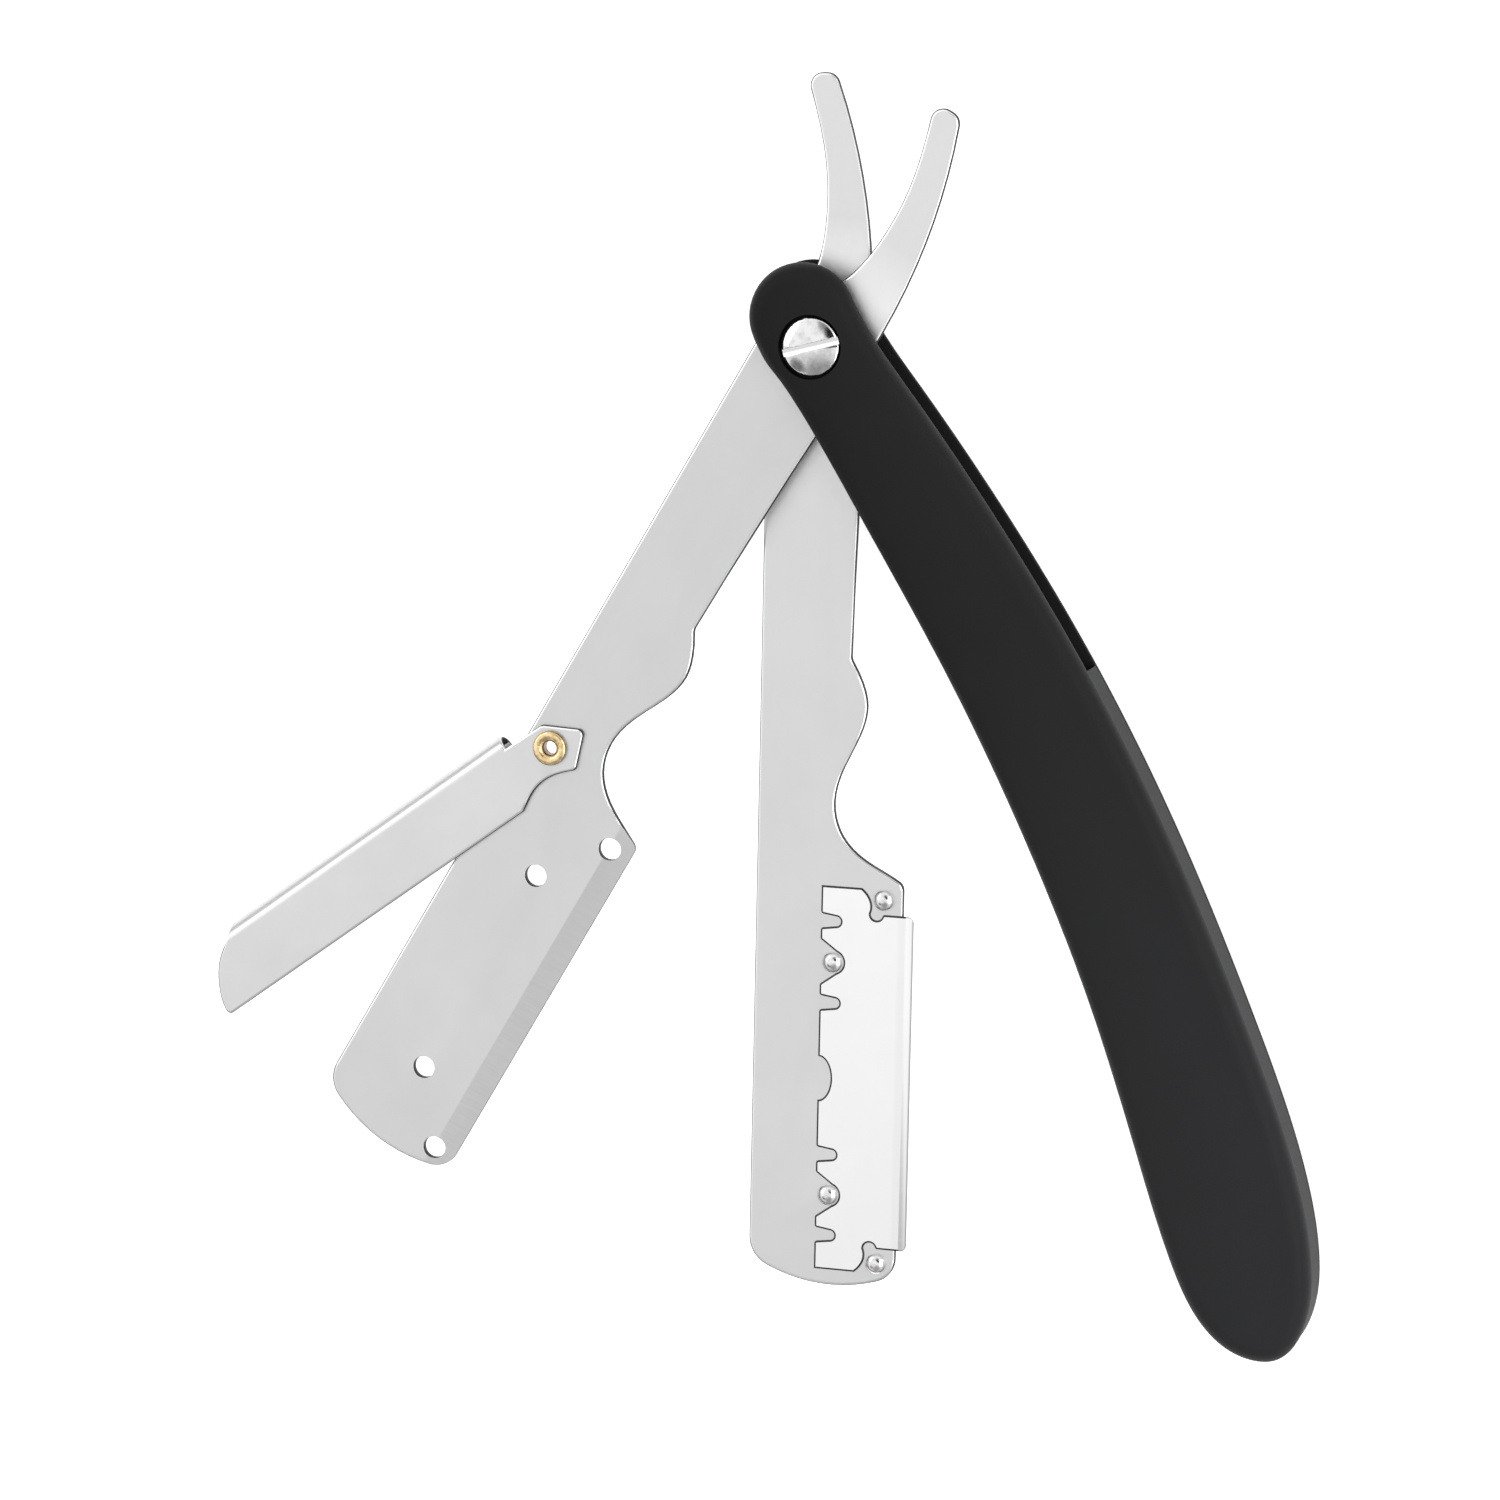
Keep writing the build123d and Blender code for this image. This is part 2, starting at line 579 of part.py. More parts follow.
with BuildPart() as lock_bar:
    with BuildSketch(across_lock):
        with BuildLine():
            outer = ThreePointArc(
                (roll_y, LOCK_FRONT_TOP),
                (LOCK_ROLL, roll_z),
                (roll_y, LOCK_BACK_BOTTOM),
            )
            back = Polyline(
                outer @ 1,
                (LOCK_BACK_EDGE, LOCK_BACK_BOTTOM),
                (LOCK_BACK_EDGE, LOCK_BACK_BOTTOM + LOCK_SHEET),
                (roll_y, LOCK_BACK_BOTTOM + LOCK_SHEET),
            )
            inner = ThreePointArc(
                back @ 1,
                (LOCK_ROLL + LOCK_SHEET, roll_z),
                (roll_y, LOCK_FRONT_TOP - LOCK_SHEET),
            )
            Line(inner @ 1, outer @ 0)
        make_face()
    extrude(amount=LOCK_LENGTH)
    with BuildSketch(lock_plane(LOCK_FRONT_TOP)):
        with Locations((LOCK_LENGTH / 2 - 3, (roll_y + LOCK_EDGE) / 2)):
            Rectangle(LOCK_LENGTH + 10, LOCK_EDGE - roll_y)
    extrude(amount=-LOCK_SHEET)
    with BuildSketch(lock_plane(LOCK_BACK_BOTTOM)):
        add(lock_plan.sketch)
    extrude(amount=LOCK_FRONT_TOP - LOCK_BACK_BOTTOM, mode=Mode.INTERSECT)
    front_leaf = lock_bar.faces().filter_by(Axis.Z).sort_by(Axis.Z)[-1]
    on_roll_line = lock_plane(LOCK_FRONT_TOP).from_local_coords(Vector(LOCK_LENGTH / 2, roll_y, 0))
    rim = front_leaf.edges().sort_by_distance(on_roll_line)[1:]
    chamfer(rim, LOCK_RIM_WIDTH, LOCK_RIM_DEPTH, reference=front_leaf)
    with BuildSketch(lock_plane(LOCK_FRONT_TOP)):
        Circle(eyelet_hole)
    extrude(amount=-LOCK_SHEET, mode=Mode.SUBTRACT)
lock_bar.part.label = "lock_bar"

# ---- files --------------------------------------------------------------------------------------
pieces = [
    front_scale,
    rear_scale,
    pivot_screw,
    pivot_nut,
    rear_washer,
    cover_washer,
    blade_arm,
    half_blade,
    cover_arm,
    lock_eyelet,
    lock_bar,
]
for piece in pieces:
    export_step(piece.part, "parts/" + piece.part.label + ".step")
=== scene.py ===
"""Looks of the folding barber razor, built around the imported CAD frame."""

import json
import math

import bmesh
import bpy
from mathutils import Matrix, Vector, noise


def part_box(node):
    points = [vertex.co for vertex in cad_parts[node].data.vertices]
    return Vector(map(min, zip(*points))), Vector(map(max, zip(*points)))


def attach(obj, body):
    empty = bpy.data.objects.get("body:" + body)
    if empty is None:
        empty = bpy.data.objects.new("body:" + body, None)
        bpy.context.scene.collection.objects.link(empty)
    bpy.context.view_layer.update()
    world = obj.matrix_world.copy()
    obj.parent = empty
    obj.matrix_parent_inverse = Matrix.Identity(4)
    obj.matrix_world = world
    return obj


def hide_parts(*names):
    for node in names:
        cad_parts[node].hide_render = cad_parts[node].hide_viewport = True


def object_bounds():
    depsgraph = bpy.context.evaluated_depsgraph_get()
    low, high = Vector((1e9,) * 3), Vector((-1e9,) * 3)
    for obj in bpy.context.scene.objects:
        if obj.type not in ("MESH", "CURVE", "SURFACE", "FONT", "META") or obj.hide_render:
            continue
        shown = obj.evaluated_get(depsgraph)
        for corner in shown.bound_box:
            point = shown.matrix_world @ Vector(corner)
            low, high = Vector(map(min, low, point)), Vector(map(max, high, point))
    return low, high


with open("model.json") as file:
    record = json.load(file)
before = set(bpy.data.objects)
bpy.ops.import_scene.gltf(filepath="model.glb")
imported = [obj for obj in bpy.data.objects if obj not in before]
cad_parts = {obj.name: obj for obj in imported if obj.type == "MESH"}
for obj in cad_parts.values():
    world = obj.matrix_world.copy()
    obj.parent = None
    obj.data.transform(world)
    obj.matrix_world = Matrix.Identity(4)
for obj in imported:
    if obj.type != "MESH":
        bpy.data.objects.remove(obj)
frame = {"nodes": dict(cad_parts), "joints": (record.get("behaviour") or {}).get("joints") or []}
cad_low, cad_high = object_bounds()

MM = 0.001

# Places on the pieces, in mm.
LOCK_SPINE = 4.3                     # eyelet's centre to the lock's outermost line
CUTTING_EDGE = 11.7                  # across the blade arm, from its middle line
COVER_BAND = 8.15                    # across the cover arm, where its ground band starts
BAND_HEEL = 54.9                     # along the cover arm, where the band starts
BAND_TONES = (60.0, 102.0)           # along the cover arm, where the band turns light
SHANK_FADE = (75.0, 22.0)            # along both arms, from the toe's tone to the shank's
TAIL_FADE = (2.0, -7.0)              # along both arms, from the shank's tone to the painted light
TAIL_END_FADE = (-7.5, -13.5)        # along both arms, from that to the tail's own
SIDE_START = (0.13, 0.16)            # in from a sheet's top and underside, where its side is painted dark as shade
HANDLE_SHEEN_X = (-6.0, 8.0)          # across the handle, where its black turns greyer as painted sheen
HANDLE_SHEEN_Y = (-32.0, -119.0)      # along it, the same
SLOT_FLOOR = 0.6                     # this far below the screw's top everything is slot floor
SLOT_HEADING = math.radians(-10.5)   # of the screwdriver slot, from +X

# Levels of grey that the steel sheets share.
TAIL_PAINTED_LIGHT = 0.86                    # painted light just behind the pivot, lifting the shade beside the handle
RIM_HIGHLIGHT = 0.93                           # burnished rims, painted light as a highlight
SHEARED_SIDE_SHADE = 0.035                 # sides left by the press, painted near black as shade


# ---- places that the frame gives ----------------------------------------------------------------
def joint(name):
    """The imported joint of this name."""
    return next(j for j in frame["joints"] if j["name"] == name)


def centre_of(node):
    low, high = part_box(node)
    return (Vector(low) + Vector(high)) / 2


def heading(start, end):
    """Angle of the level line from one point to another, in radians from +X."""
    return math.atan2(end.y - start.y, end.x - start.x)


heel_stud = (centre_of("stud_heel_edge") + centre_of("stud_heel_spine")) / 2
toe_stud = (centre_of("stud_toe_edge") + centre_of("stud_toe_spine")) / 2
blade_arm_heading = heading(heel_stud, toe_stud)
spread_at_rest = math.radians(-joint("spread")["range_deg"][0])
cover_arm_heading = blade_arm_heading - spread_at_rest
lock_heading = cover_arm_heading - math.radians(-joint("lock_swing")["range_deg"][0])
eyelet = centre_of("lock_eyelet")
lock_middle = (eyelet.y * math.cos(lock_heading) - eyelet.x * math.sin(lock_heading)) / MM
lock_low, lock_high = (corner.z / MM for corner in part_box("lock_bar"))
lock_radius = (lock_high - lock_low) / 2
lock_roll = (lock_middle - LOCK_SPINE + lock_radius, (lock_low + lock_high) / 2, lock_radius)


# ---- node helpers -------------------------------------------------------------------------------
class Nodes:
    """Shorthand for building one material's nodes.

    A socket is named by its label with underscores for spaces, or as i0, i1 and so on by its place.
    """

    def __init__(self, name):
        self.material = bpy.data.materials.new(name)
        self.material.use_nodes = True
        self.tree = self.material.node_tree
        self.shader = self.tree.nodes["Principled BSDF"]

    def add(self, kind, **inputs):
        """A node of this kind, with its sockets set to values or linked to sockets."""
        node = self.tree.nodes.new("ShaderNode" + kind)
        for key, value in inputs.items():
            self.put(node, key.replace("_", " "), value)
        return node

    def put(self, node, key, value):
        """Sets one socket to a value, or links it to another socket."""
        socket = node.inputs[int(key[1:])] if key[1:].isdigit() else node.inputs[key]
        if isinstance(value, bpy.types.NodeSocket):
            self.tree.links.new(value, socket)
        else:
            socket.default_value = value

    def place(self, turn=0.0, scale=(1, 1, 1)):
        """Coordinates of the razor's frame in millimetres, turned so X runs along a heading."""
        where = self.add("TexCoord")
        turned = self.add("VectorRotate", Vector=where.outputs["Object"], Angle=-turn)
        turned.rotation_type = "Z_AXIS"
        sized = self.add("Mapping", Vector=turned.outputs[0])
        sized.inputs["Scale"].default_value = [s / MM for s in scale]
        return sized.outputs[0]

    def parts(self, vector):
        """The three numbers of a vector."""
        return self.add("SeparateXYZ", Vector=vector).outputs

    def upward(self):
        """How far the surface faces straight up or down: 1 on the flats, 0 on the sides."""
        facing = self.parts(self.add("TexCoord").outputs["Normal"])[2]
        return self.math("ABSOLUTE", facing)

    def noise(self, vector, scale, detail=3.0, roughness=0.55):
        node = self.add("TexNoise", Vector=vector, Scale=scale, Detail=detail, Roughness=roughness)
        return node.outputs["Fac"]

    def remap(self, value, low, high, to_low=0.0, to_high=1.0):
        """The value carried from one range to another, and held at its ends."""
        ends = {"From_Min": low, "From_Max": high, "To_Min": to_low, "To_Max": to_high}
        return self.add("MapRange", Value=value, **ends).outputs[0]

    def math(self, operation, a, b=0.0):
        node = self.add("Math", i0=a, i1=b)
        node.operation = operation
        return node.outputs[0]

    def blend(self, factor, low, high):
        """Colour between two colours or sockets."""
        node = self.tree.nodes.new("ShaderNodeMix")
        node.data_type = "RGBA"
        for key, value in ((0, factor), (6, low), (7, high)):
            self.put(node, "i" + str(key), value)
        return node.outputs[2]

    def bump(self, height, distance, strength, over=None):
        """A surface normal tilted by a height, over another tilted normal if one is given."""
        node = self.add("Bump", Height=height, Distance=distance, Strength=strength)
        if over is not None:
            self.put(node, "Normal", over)
        return node.outputs[0]

    def finish(self, **inputs):
        """Sets the shader's sockets and gives the material."""
        for key, value in inputs.items():
            self.put(self.shader, key.replace("_", " "), value)
        return self.material


def grey(level, tint=(1.0, 1.0, 1.0)):
    """A colour of this level, tinted by a factor for each channel."""
    return (level * tint[0], level * tint[1], level * tint[2], 1.0)


# ---- materials ----------------------------------------------------------------------------------
def handle_plastic():
    """Matte black moulding: fine spark-eroded grain, faint flow patches and dust-grey specks, and
    painted sheen that turns it greyer and cooler towards the butt and its +X side.
    """
    cool = (0.97, 0.99, 1.05)
    n = Nodes("handle_plastic")
    at = n.place()
    patches = n.noise(at, 0.12, 2.0)
    grain = n.noise(at, 7.0, 4.0, 0.6)
    specks = n.remap(n.noise(at, 2.6, 6.0, 0.75), 0.68, 0.76)
    x, y, _ = n.parts(at)
    # Painted sheen: the black is lifted to a cooler grey towards the butt and the +X side.
    painted_light = n.math("ADD", n.remap(y, *HANDLE_SHEEN_Y, 0.0, 0.8), n.remap(x, *HANDLE_SHEEN_X, 0.0, 0.42))
    colour = n.blend(painted_light, grey(0.0058), grey(0.0212, (0.97, 0.99, 1.06)))
    colour = n.blend(n.remap(patches, 0.35, 0.65, 0.0, 0.2), colour, grey(0.0150, cool))
    colour = n.blend(n.math("MULTIPLY", specks, 0.3), colour, grey(0.035))
    rough = n.remap(grain, 0.3, 0.7, 0.50, 0.62)
    normal = n.bump(grain, 0.02 * MM, 0.45)
    return n.finish(Base_Color=colour, Roughness=rough, Normal=normal, Specular_IOR_Level=0.14)


def ground_band(n, turn, band, dark, flat, relief):
    """The steel's colour and relief with the band ground along its edge from band, in mm, outward; the
    band's darker tones are partly painted reflection.
    """
    along, across, _ = n.parts(n.place(turn))
    grind = n.noise(n.place(turn, (2.4, 0.10, 1.0)), 1.4, 3.0, 0.6)
    inside = n.remap(across, band - 0.12, band + 0.10)
    inside = n.math("MULTIPLY", inside, n.remap(along, BAND_HEEL, BAND_HEEL + 0.3))
    # The band's levels are partly its grind and partly painted reflection of its tilt: darker at its
    # inner line, lighter outward and towards the toe.
    ground = n.blend(n.remap(along, *BAND_TONES), grey(dark * 0.905), grey(dark * 1.03))
    ground = n.blend(n.remap(across, band, band + 2.6, 0.0, 0.5), ground, grey(dark * 1.01))
    ground = n.blend(n.remap(grind, 0.35, 0.65, 0.0, 0.5), ground, grey(dark * 0.895))
    relief = n.bump(n.math("MULTIPLY", grind, inside), 0.008 * MM, 0.5, relief)
    return n.blend(inside, flat, ground), relief


def sheared_sides(n, node, height, up):
    """Mask of the sides that the press left, where dark shade is painted: steep faces, and sloped ones
    below the flats' corners.
    """
    base, top = (corner.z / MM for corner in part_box(node))
    from_middle = n.math("ABSOLUTE", n.math("SUBTRACT", height, (base + top) / 2))
    below = n.remap(from_middle, *((top - base) / 2 - start for start in SIDE_START))
    sloped = n.math("MULTIPLY", below, n.remap(up, 0.95, 0.90))
    return n.math("MAXIMUM", sloped, n.remap(up, 0.86, 0.79))


def rolled_hollow(n, beyond, rise, radius):
    """Mask of a rolled edge's hollow and of what lies inward of it, beyond being across its axis."""
    from_axis = n.add("CombineXYZ", X=beyond, Y=rise)
    reach = n.add("VectorMath", i0=from_axis.outputs[0])
    reach.operation = "LENGTH"
    hollow = n.remap(reach.outputs["Value"], radius - 0.2, radius - 0.3)
    return n.math("MAXIMUM", hollow, n.remap(beyond, 0.1, 0.3))


def sheet_steel(name, node, turn, tones, roughness, dull=0.0, tail=None, band=None, roll=None):
    """Stamped stainless sheet: cloudy tumbled flats, burnished rims painted light as a highlight, and
    sheared sides painted near black as shade.

    node is the CAD piece, turn the heading of its length from the pivot, and tones its dark and
    light levels.  dull is how far the shank is taken towards a darker level, tail the level of the
    end behind the pivot, next to a painted light just behind the pivot, and band where a ground
    band starts across the sheet, in mm.  roll is a rolled edge, its axis across the sheet and its
    height and its radius, in mm: its back is a little darker and has no painted rim highlight, its
    hollow is painted dark as shade, and it has no sheared side.
    """
    dark, light = tones
    n = Nodes(name)
    at = n.place(turn)
    along, across, height = n.parts(at)
    up = n.upward()
    cloud = n.noise(at, 0.10, 4.0, 0.6)
    mottle = n.noise(at, 1.3, 5.0, 0.7)
    drawn = n.noise(n.place(turn, (0.09, 2.2, 1.0)), 1.5, 3.0, 0.6)
    pits = n.remap(n.noise(at, 2.0, 6.0, 0.8), 0.74, 0.80)
    mix = n.math("ADD", n.math("MULTIPLY", cloud, 0.75), n.math("MULTIPLY", mottle, 0.25))
    cold = (1.0, 1.0, 1.004)
    flat = n.blend(n.remap(mix, 0.38, 0.62), grey(dark, cold), grey(light, cold))
    flat = n.blend(n.remap(along, *SHANK_FADE, 0.0, dull), flat, grey(dark * 0.8))
    flat = n.blend(n.math("MULTIPLY", pits, 0.15), flat, grey(dark * 0.6))
    relief = n.bump(drawn, 0.004 * MM, 0.4, n.bump(mottle, 0.006 * MM, 0.3))
    if band is not None:
        flat, relief = ground_band(n, turn, band, dark, flat, relief)
    if tail is not None:
        # Painted light on the tails just behind the pivot, lifting the shade that the handle throws
        # there.
        flat = n.blend(n.remap(along, *TAIL_FADE), flat, grey(TAIL_PAINTED_LIGHT))
        flat = n.blend(n.remap(along, *TAIL_END_FADE), flat, grey(tail))
    # Rims: burnished smoother, and lightened in colour as a painted highlight.
    rim = n.remap(up, 0.985, 0.93)
    sheared = sheared_sides(n, node, height, up)
    if roll is not None:
        # The roll's back a little darker and without the painted rim highlight; its hollow keeps the
        # painted side shade.
        roll_across, roll_height, radius = roll
        beyond = n.math("SUBTRACT", across, roll_across)
        back = n.remap(beyond, -0.50, -0.68)
        flat = n.blend(back, flat, grey(dark * 0.92))
        rim = n.math("MULTIPLY", rim, n.math("SUBTRACT", 1.0, back))
        rise = n.math("SUBTRACT", height, roll_height)
        sheared = n.math("MULTIPLY", sheared, rolled_hollow(n, beyond, rise, radius))
    # The sides' near-black is partly their streaked, torn grain and partly painted shade.
    streak = n.noise(n.place(turn, (3.0, 3.0, 0.3)), 1.2, 3.0, 0.6)
    torn_side_shade = n.blend(streak, grey(SHEARED_SIDE_SHADE * 0.7), grey(SHEARED_SIDE_SHADE * 1.4))
    colour = n.blend(sheared, n.blend(rim, flat, grey(RIM_HIGHLIGHT)), torn_side_shade)
    rough = n.remap(rim, 0.0, 1.0, n.remap(mottle, 0.35, 0.65, *roughness), 0.2)
    rough = n.remap(sheared, 0.0, 1.0, rough, 0.45)
    metal = n.math("SUBTRACT", 1.0, sheared)
    return n.finish(Base_Color=colour, Metallic=metal, Roughness=rough, Normal=relief,
                    Specular_IOR_Level=0.1)


def plain_metal(name, colour_low, colour_high, roughness, scale, height):
    """Turned or pressed metal with a fine texture of this scale, height mm deep."""
    n = Nodes(name)
    at = n.place()
    texture = n.noise(at, scale, 4.0, 0.6)
    colour = n.blend(n.remap(texture, 0.35, 0.65), colour_low, colour_high)
    rough = n.remap(texture, 0.3, 0.7, *roughness)
    normal = n.bump(texture, height * MM, 0.6)
    return n.finish(Base_Color=colour, Metallic=1.0, Roughness=rough, Normal=normal)


def blade_steel(turn):
    """Rolled razor strip, bright on the flat, with a grey honed band, a fine line at the edge and its
    sloping rim painted near black as shade.
    """
    n = Nodes("blade_steel")
    at = n.place(turn)
    across = n.parts(at)[1]
    cloud = n.noise(at, 0.2, 3.0, 0.6)
    grind = n.noise(n.place(turn, (3.0, 0.25, 1.0)), 1.6, 3.0, 0.6)
    flat = n.blend(cloud, grey(0.92), grey(0.96))
    hone = n.remap(across, CUTTING_EDGE - 1.9, CUTTING_EDGE - 1.5, 0.0, 0.4)
    colour = n.blend(hone, flat, n.blend(grind, grey(0.78), grey(0.88)))
    cut = n.remap(across, CUTTING_EDGE - 0.22, CUTTING_EDGE - 0.12, 0.0, 0.75)
    colour = n.blend(cut, colour, grey(0.30))
    # The sloping rim round the outline is painted near black as shade.
    side = n.remap(n.upward(), 0.98, 0.94)
    colour = n.blend(side, colour, grey(0.05))
    rough = n.remap(grind, 0.3, 0.7, 0.30, 0.38)
    normal = n.bump(grind, 0.002 * MM, 0.2)
    return n.finish(Base_Color=colour, Metallic=1.0, Roughness=rough, Normal=normal)


def plated_steel(level, turn):
    """Bright nickel plate on a turned screw head, its steep faces and slot walls painted dark as shade
    and half its slot's floor painted near white as a highlight.

    level is the height, in mm, below which the slot's floor lies, and turn the slot's heading.
    """
    n = Nodes("plated_steel")
    at = n.place()
    tarnish = n.noise(at, 0.7, 4.0, 0.6)
    fine = n.noise(at, 5.0, 3.0, 0.6)
    up = n.upward()
    colour = n.blend(n.remap(tarnish, 0.42, 0.62), grey(0.76), grey(0.55))
    low = n.remap(n.parts(at)[2], level, level - 0.05)
    floor = n.math("MULTIPLY", low, n.remap(up, 0.97, 0.99))
    # Half the slot's floor painted near white as a highlight, the other half grey.
    painted_light = n.remap(n.parts(n.place(turn))[1], 0.05, -0.05)
    colour = n.blend(floor, colour, n.blend(painted_light, grey(0.62), grey(0.98)))
    # Steep faces, the slot's walls among them, painted dark as shade.
    colour = n.blend(n.remap(up, 0.80, 0.60), colour, grey(0.06))
    rough = n.remap(fine, 0.3, 0.7, 0.06, 0.12)
    normal = n.bump(tarnish, 0.03 * MM, 0.5)
    return n.finish(Base_Color=colour, Metallic=1.0, Roughness=rough, Normal=normal)


def use(material, *nodes):
    """Gives CAD nodes that keep their own shape a material."""
    for node in nodes:
        mesh = frame["nodes"][node].data
        mesh.materials.clear()
        mesh.materials.append(material)


use(handle_plastic(), "front_scale", "rear_scale")
use(plain_metal("stud_steel", grey(0.62, (1.02, 0.99, 1.0)), grey(0.80), (0.08, 0.16), 2.4, 0.02),
    "stud_heel_edge", "stud_heel_spine", "stud_toe_spine", "stud_toe_edge")
use(plain_metal("washer_steel", grey(0.42), grey(0.52), (0.3, 0.42), 3.0, 0.01),
    "rear_washer", "cover_washer")
use(plain_metal("nut_steel", grey(0.72), grey(0.86), (0.08, 0.16), 0.7, 0.012), "pivot_nut")


# ---- stamped and turned pieces with eased corners -----------------------------------------------
def node_form(node):
    """The node's mesh as a bmesh with its flats made into single faces."""
    form = bmesh.new()
    form.from_mesh(frame["nodes"][node].data)
    bmesh.ops.remove_doubles(form, verts=form.verts, dist=0.001 * MM)
    bmesh.ops.dissolve_limit(form, angle_limit=math.radians(0.4), verts=form.verts, edges=form.edges)
    return form


def stand_in(form, name, node, body, material):
    """Makes the bmesh a piece that rides on a body and stands for a CAD node."""
    mesh = bpy.data.meshes.new(name)
    form.to_mesh(mesh)
    form.free()
    mesh.materials.append(material)
    piece = bpy.data.objects.new(name, mesh)
    bpy.context.collection.objects.link(piece)
    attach(piece, body)
    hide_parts(node)
    return piece


def rounded_copy(node, body, material, easing):
    """A copy of a node, shaded smooth, with its sharp corners eased.

    easing is the most that comes off a corner, in mm.  The bevel is held back where edges are short,
    which is nearly everywhere, so the corners stay close to the CAD's.
    """
    form = node_form(node)
    inner = [edge for edge in form.edges if len(edge.link_faces) == 2]
    corners = [edge for edge in inner if edge.calc_face_angle() > math.radians(50)]
    bmesh.ops.bevel(form, geom=corners, offset=easing * MM, segments=1, profile=0.5,
                    affect="EDGES", clamp_overlap=True)
    for face in form.faces:
        face.smooth = True
    for edge in form.edges:
        if len(edge.link_faces) == 2:
            edge.smooth = not 6 < math.degrees(edge.calc_face_angle()) < 14
    piece = stand_in(form, node + "_rounded", node, body, material)
    piece.modifiers.new("even_flats", "WEIGHTED_NORMAL").keep_sharp = True
    return piece


def rimmed_blade(material):
    """The half blade with a narrow sloping rim all along its stamped outline."""
    form = node_form("half_blade")
    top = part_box("half_blade")[1].z
    upper = [face for face in form.faces if face.normal.z > 0.99]
    rim = bmesh.ops.inset_region(form, faces=upper, thickness=0.20 * MM, use_even_offset=True)["faces"]
    kept = {vert for face in upper for vert in face.verts}
    for vert in {vert for face in rim for vert in face.verts} - kept:
        vert.co.z = min(vert.co.z, top - 0.08 * MM)
    return stand_in(form, "half_blade_rimmed", "half_blade", "half_blade", material)


blade_arm_steel = sheet_steel("blade_arm_steel", "blade_arm", blade_arm_heading, (0.705, 0.735),
                              (0.40, 0.48), dull=0.26, tail=0.702)
cover_arm_steel = sheet_steel("cover_arm_steel", "cover_arm", cover_arm_heading, (0.675, 0.705),
                              (0.42, 0.50), dull=0.36, tail=0.717, band=COVER_BAND)
lock_steel = sheet_steel("lock_steel", "lock_bar", lock_heading, (0.685, 0.725), (0.38, 0.46),
                         roll=lock_roll)
rounded_copy("blade_arm", "blade_arm", blade_arm_steel, 0.15)
rounded_copy("cover_arm", "cover_arm", cover_arm_steel, 0.15)
rounded_copy("lock_bar", "lock_bar", lock_steel, 0.10)
rimmed_blade(blade_steel(blade_arm_heading))
screw_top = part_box("pivot_screw")[1].z / MM
screw_steel = plated_steel(screw_top - SLOT_FLOOR, SLOT_HEADING)
rounded_copy("pivot_screw", "handle", screw_steel, 0.08)


# ---- hammered brass eyelet ----------------------------------------------------------------------
def eyelet_brass():
    """Drawn brass with a faint patina, darker down its bore."""
    n = Nodes("eyelet_brass")
    at = n.place()
    patina = n.noise(at, 1.5, 4.0, 0.6)
    # Drawn brass with a faint patina, its steep faces down the bore and round the rims painted dark
    # brown as shade.
    fine = n.noise(at, 6.0, 4.0, 0.6)
    colour = n.blend(n.remap(patina, 0.35, 0.65), (0.66, 0.47, 0.22, 1), (0.88, 0.71, 0.44, 1))
    # Steep faces, down the bore most of all, painted dark brown as shade.
    colour = n.blend(n.remap(n.upward(), 0.62, 0.35), colour, (0.16, 0.085, 0.03, 1))
    rough = n.remap(fine, 0.3, 0.7, 0.16, 0.28)
    normal = n.bump(fine, 0.02 * MM, 0.5)
    return n.finish(Base_Color=colour, Metallic=1.0, Roughness=rough, Normal=normal)


def hammered_eyelet(material):
    """The eyelet turned from its profile, its flange dimpled by the setting tool."""
    base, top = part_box("lock_eyelet")
    middle = (base + top) / 2
    # Radius and height, in mm: the foot and the mouth from the base, the others from the top.
    foot = [(1.00, 0.00), (1.30, 0.00), (1.55, 0.02), (1.45, 0.14), (1.15, 0.34)]
    underside = [(1.15, -0.46), (1.50, -0.45), (1.80, -0.44)]
    flange = [
        (1.90, -0.34), (1.91, -0.22), (1.83, -0.11), (1.70, -0.04), (1.55, 0.0), (1.40, 0.0),
        (1.25, -0.02), (1.10, -0.07), (0.95, -0.15), (0.83, -0.27),
    ]
    bore = [(0.76, -0.42), (0.75, -0.62)]
    mouth = [(0.75, 0.36)]
    stretches = ((foot, base), (underside, top), (flange, top), (bore, top), (mouth, base))
    profile = [
        (radius, datum.z + height * MM, stretch is flange)
        for stretch, datum in stretches
        for radius, height in stretch
    ]
    rings = []
    form = bmesh.new()
    turns = 72
    for radius, level, dimpled in profile:
        ring = []
        for step in range(turns):
            angle = 2 * math.pi * step / turns
            out = Vector((math.cos(angle), math.sin(angle), 0))
            point = Vector((middle.x, middle.y, level)) + out * radius * MM
            if dimpled:
                dent = noise.noise(point / MM * 5.0) + 0.5 * noise.noise(point / MM * 11.0)
                point -= Vector((0, 0, 0.06)) * MM * max(0.0, dent)
            ring.append(form.verts.new(point))
        rings.append(ring)
    for below, above in zip(rings, rings[1:] + rings[:1]):
        for step in range(turns):
            after = (step + 1) % turns
            form.faces.new((below[step], below[after], above[after], above[step]))
    bmesh.ops.recalc_face_normals(form, faces=form.faces)
    for face in form.faces:
        face.smooth = True
    stand_in(form, "eyelet_ring", "lock_eyelet", "cover_arm", material)


hammered_eyelet(eyelet_brass())


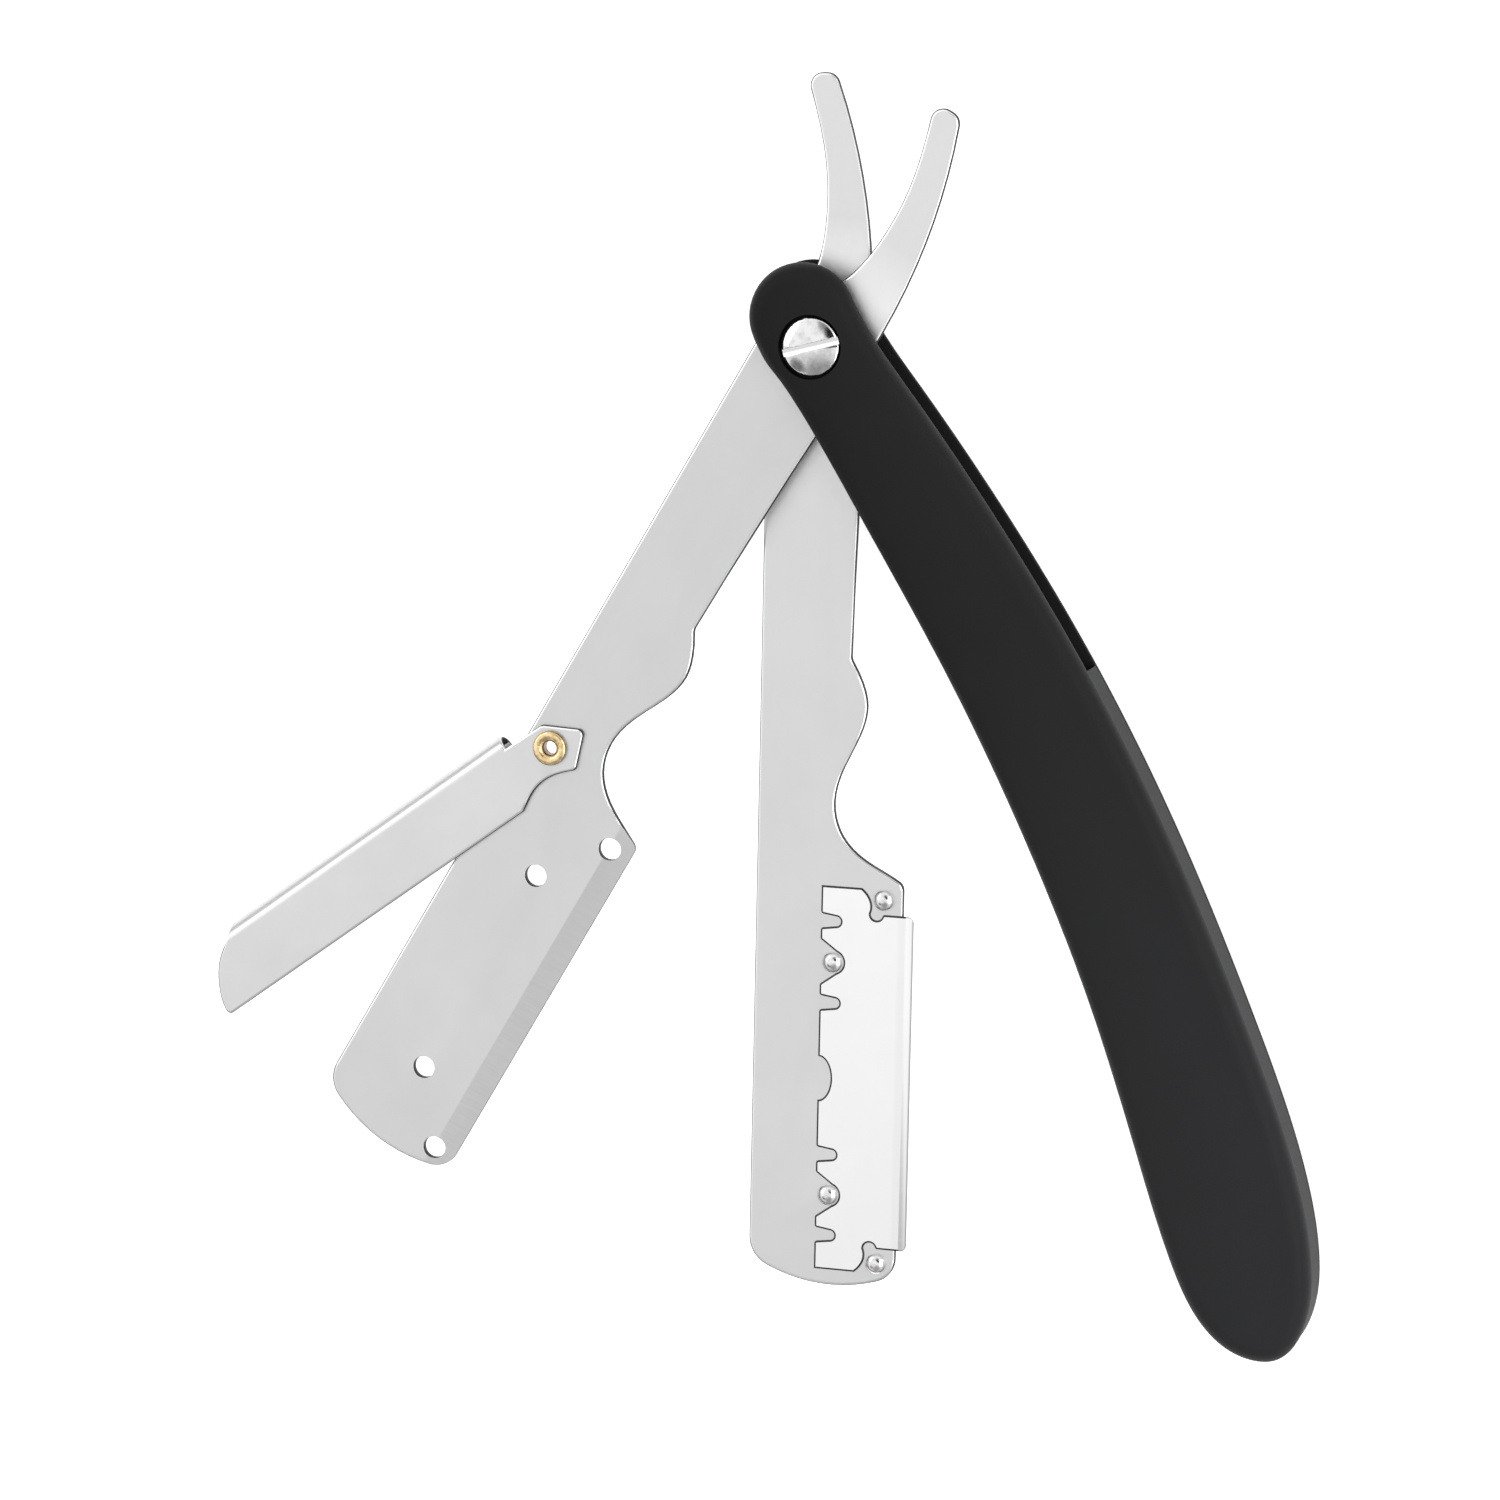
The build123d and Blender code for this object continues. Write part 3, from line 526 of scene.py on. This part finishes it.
# ---- floor, light and camera --------------------------------------------------------------------
# Dark shapes in the dome: direction and height, inner and outer radius in degrees, light kept.
STUDIO_SHADES = (
    (20, 68, 6, 12, 0.02),
    (46, 61, 4, 17, 0.25),
    (198, 44, 3, 14, 0.25),
    (246, 48, 10, 36, 0.38),
)
DOME_HEIGHTS = (0.02, 0.58)          # sines of the heights that the dome's light rises between
DOME_LIGHT = (0.05, 1.15)            # its strength at and below the first, and above the second

VIEW_TILT = math.radians(18.61)      # camera's lean from straight above
VIEW_SIDE = math.radians(6.81)       # direction of the lean, from +X
VIEW_UP = math.radians(65.47)        # picture's up, from +X
VIEW_DISTANCE = 0.540                # in m
VIEW_TARGET = Vector((-25.52, -37.04, 4.0)) * MM
VIEW_LENS = 119.4                    # in mm


def make_floor():
    """A white lit table just below the razor."""
    reach = 3.0
    mesh = bpy.data.meshes.new("floor")
    corners = [(-reach, -reach, 0), (reach, -reach, 0), (reach, reach, 0), (-reach, reach, 0)]
    mesh.from_pydata(corners, [], [(0, 1, 2, 3)])
    floor = bpy.data.objects.new("floor", mesh)
    floor.location.z = cad_low.z - 0.05 * MM
    bpy.context.collection.objects.link(floor)
    n = Nodes("floor_paint")
    at = n.place()
    tone = n.remap(n.noise(at, 0.01, 2.0), 0.3, 0.7)
    paint = n.blend(tone, grey(0.88), grey(0.90))
    mesh.materials.append(n.finish(Base_Color=paint, Roughness=0.9, Specular_IOR_Level=0.0,
                                   Emission_Color=paint, Emission_Strength=0.7))


def make_softbox(name, size, radiance, turn, height, distance):
    """A flat area light of even radiance, seen from the razor at this direction, in degrees."""
    data = bpy.data.lights.new(name, "AREA")
    data.shape = "RECTANGLE"
    data.size, data.size_y = size
    data.energy = radiance * math.pi * size[0] * size[1]
    light = bpy.data.objects.new(name, data)
    turn, height = math.radians(turn), math.radians(height)
    level = math.cos(height)
    away = Vector((level * math.cos(turn), level * math.sin(turn), math.sin(height)))
    light.location = (cad_low + cad_high) / 2 + away * distance
    light.rotation_mode = "QUATERNION"
    light.rotation_quaternion = away.to_track_quat("Z", "Y")
    bpy.context.collection.objects.link(light)


def make_world():
    """A white dome that dims towards the horizon, with the dark shapes that the metal reflects."""
    world = bpy.data.worlds.new("studio")
    world.use_nodes = True
    tree = world.node_tree

    def add(kind, *inputs, **settings):
        node = tree.nodes.new("ShaderNode" + kind)
        for key, value in settings.items():
            setattr(node, key, value)
        for socket, value in zip(node.inputs, inputs):
            if isinstance(value, bpy.types.NodeSocket):
                tree.links.new(value, socket)
            else:
                socket.default_value = value
        return node

    where = add("TexCoord").outputs["Generated"]
    height = add("SeparateXYZ", where).outputs[2]
    light = add("MapRange", height, *DOME_HEIGHTS, *DOME_LIGHT).outputs[0]
    for turn, rise, inner, outer, keep in STUDIO_SHADES:
        turn, rise = math.radians(turn), math.radians(rise)
        toward = (math.cos(rise) * math.cos(turn), math.cos(rise) * math.sin(turn), math.sin(rise))
        near = add("VectorMath", where, toward, operation="DOT_PRODUCT").outputs["Value"]
        edge, core = math.cos(math.radians(outer)), math.cos(math.radians(inner))
        shade = add("MapRange", near, edge, core, 1.0, keep, interpolation_type="SMOOTHSTEP").outputs[0]
        light = add("Math", light, shade, operation="MULTIPLY").outputs[0]
    tree.links.new(light, tree.nodes["Background"].inputs["Strength"])
    tree.nodes["Background"].inputs["Color"].default_value = (1.0, 1.0, 1.0, 1.0)
    bpy.context.scene.world = world


def make_camera():
    """The photograph's view."""
    back = Vector((
        math.sin(VIEW_TILT) * math.cos(VIEW_SIDE),
        math.sin(VIEW_TILT) * math.sin(VIEW_SIDE),
        math.cos(VIEW_TILT),
    ))
    up = Vector((math.cos(VIEW_UP), math.sin(VIEW_UP), 0))
    right = up.cross(back).normalized()
    up = back.cross(right)
    data = bpy.data.cameras.new("camera")
    data.lens = VIEW_LENS
    data.clip_start, data.clip_end = 0.01, 10
    camera = bpy.data.objects.new("camera", data)
    place = Matrix((right, up, back)).transposed().to_4x4()
    place.translation = VIEW_TARGET + back * VIEW_DISTANCE
    camera.matrix_world = place
    bpy.context.collection.objects.link(camera)
    bpy.context.scene.camera = camera


make_floor()
make_world()
make_softbox("right_softbox", (0.9, 0.5), radiance=1.6, turn=-25, height=44, distance=0.9)
make_softbox("left_softbox", (0.7, 0.3), radiance=1.25, turn=128, height=40, distance=0.9)
make_camera()
bpy.context.scene.view_settings.view_transform = "Standard"
